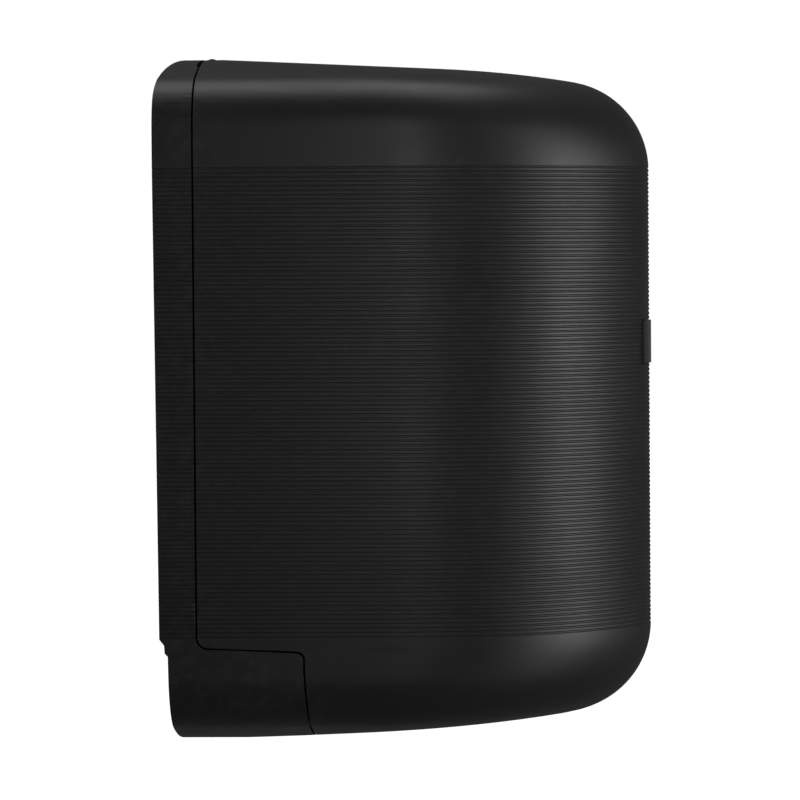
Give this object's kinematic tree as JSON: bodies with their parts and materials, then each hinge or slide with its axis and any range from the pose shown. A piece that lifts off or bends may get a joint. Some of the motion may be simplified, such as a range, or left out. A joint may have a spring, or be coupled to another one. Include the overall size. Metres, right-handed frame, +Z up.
{
  "type": "wall mounted soap dispenser",
  "caption": "Touch-free wall soap dispenser: ribbed hood cover hinged at the top of a rear housing, over a refillable tank, battery box, gear pump, sensor and key lock.",
  "frame": {"origin": "centre of the four wall screw holes, on the wall face of the back panel", "axes": "+Z up, +Y into the wall, so the front faces -Y; +X is on the right seen from the front"},
  "size_m": [0.138, 0.1781, 0.2512],
  "materials": {
    "case_black": "satin, finely textured",
    "window_black": "polished smoke tint",
    "gasket_black": "matte",
    "steel": "zinc plated",
    "chassis_grey": "fine spark texture",
    "tank_clear": "translucent natural",
    "cap_black": "satin",
    "battery_black": "satin",
    "cell_jacket": "printed sleeve, plain",
    "contact_metal": "nickel plated",
    "board_green": "solder mask",
    "chip_black": "moulded",
    "rocker_red": "moulded",
    "sensor_black": "moulded",
    "lens_red": "infrared filter",
    "lens_white": "frosted",
    "motor_steel": "rolled",
    "pump_white": "natural acetal",
    "gear_white": "natural acetal",
    "tube_clear": "translucent silicone",
    "nozzle_grey": "moulded",
    "lock_chrome": "plated"
  },
  "bodies": {
    "base": {"rear_housing": "case_black", "chassis": "chassis_grey", "soap_tank": "tank_clear", "outlet_seal": "gasket_black", "battery_box": "battery_black", "battery_cells": "cell_jacket", "battery_contacts": "contact_metal", "circuit_board": "board_green", "board_parts": "chip_black", "switch_body": "chip_black", "sensor_module": "sensor_black", "sensor_lens": "lens_red", "status_lens": "lens_white", "motor": "motor_steel", "pump_body": "pump_white", "pump_plate": "pump_white", "idler_axle": "steel", "inlet_tube": "tube_clear", "outlet_tube": "tube_clear", "nozzle": "nozzle_grey", "chassis_screws": "steel", "pump_screws": "steel", "board_screws": "steel", "battery_box_screws": "steel"},
    "cover": {"front_cover": "case_black", "cover_catch": "steel", "hinge_pins": "steel", "level_window": "window_black", "window_gasket": "gasket_black"},
    "cap": {"fill_cap": "cap_black", "cap_seal": "gasket_black"},
    "hatch": {"battery_door": "battery_black"},
    "rocker": {"power_rocker": "rocker_red"},
    "lock": {"lock_barrel": "lock_chrome", "lock_cam": "steel", "lock_nut": "steel"},
    "drive": {"drive_gear": "gear_white"},
    "idler": {"idler_gear": "gear_white"}
  },
  "joints": [
    {"name": "cover_hinge", "type": "hinge", "parent": "base", "child": "cover", "pos_m": [0, -0.0172, 0.1229], "axis": [-1, 0, 0], "range_deg": [0, 90]},
    {"name": "cap_turn", "type": "hinge", "parent": "base", "child": "cap", "pos_m": [0, -0.105, 0.09], "axis": [0, 0, 1], "range_deg": [0, 90]},
    {"name": "hatch_slide", "type": "slide", "parent": "base", "child": "hatch", "axis": [0, 0, 1], "range_m": [0, 0.016]},
    {"name": "rocker_tilt", "type": "hinge", "parent": "base", "child": "rocker", "pos_m": [0.033, -0.02, -0.058], "axis": [-1, 0, 0], "range_deg": [0, 14]},
    {"name": "lock_turn", "type": "hinge", "parent": "base", "child": "lock", "pos_m": [0.042, -0.034, -0.11], "axis": [0, 0, -1], "range_deg": [0, 90]},
    {"name": "pump_spin", "type": "hinge", "parent": "base", "child": "drive", "pos_m": [-0.007, -0.096, -0.078], "axis": [0, -1, 0], "continuous": true},
    {"name": "idler_spin", "type": "hinge", "parent": "base", "child": "idler", "pos_m": [0.007, -0.096, -0.078], "axis": [0, -1, 0], "continuous": true}
  ],
  "couplings": [
    {"joint": "idler_spin", "follows": "pump_spin", "ratio": -1}
  ]
}
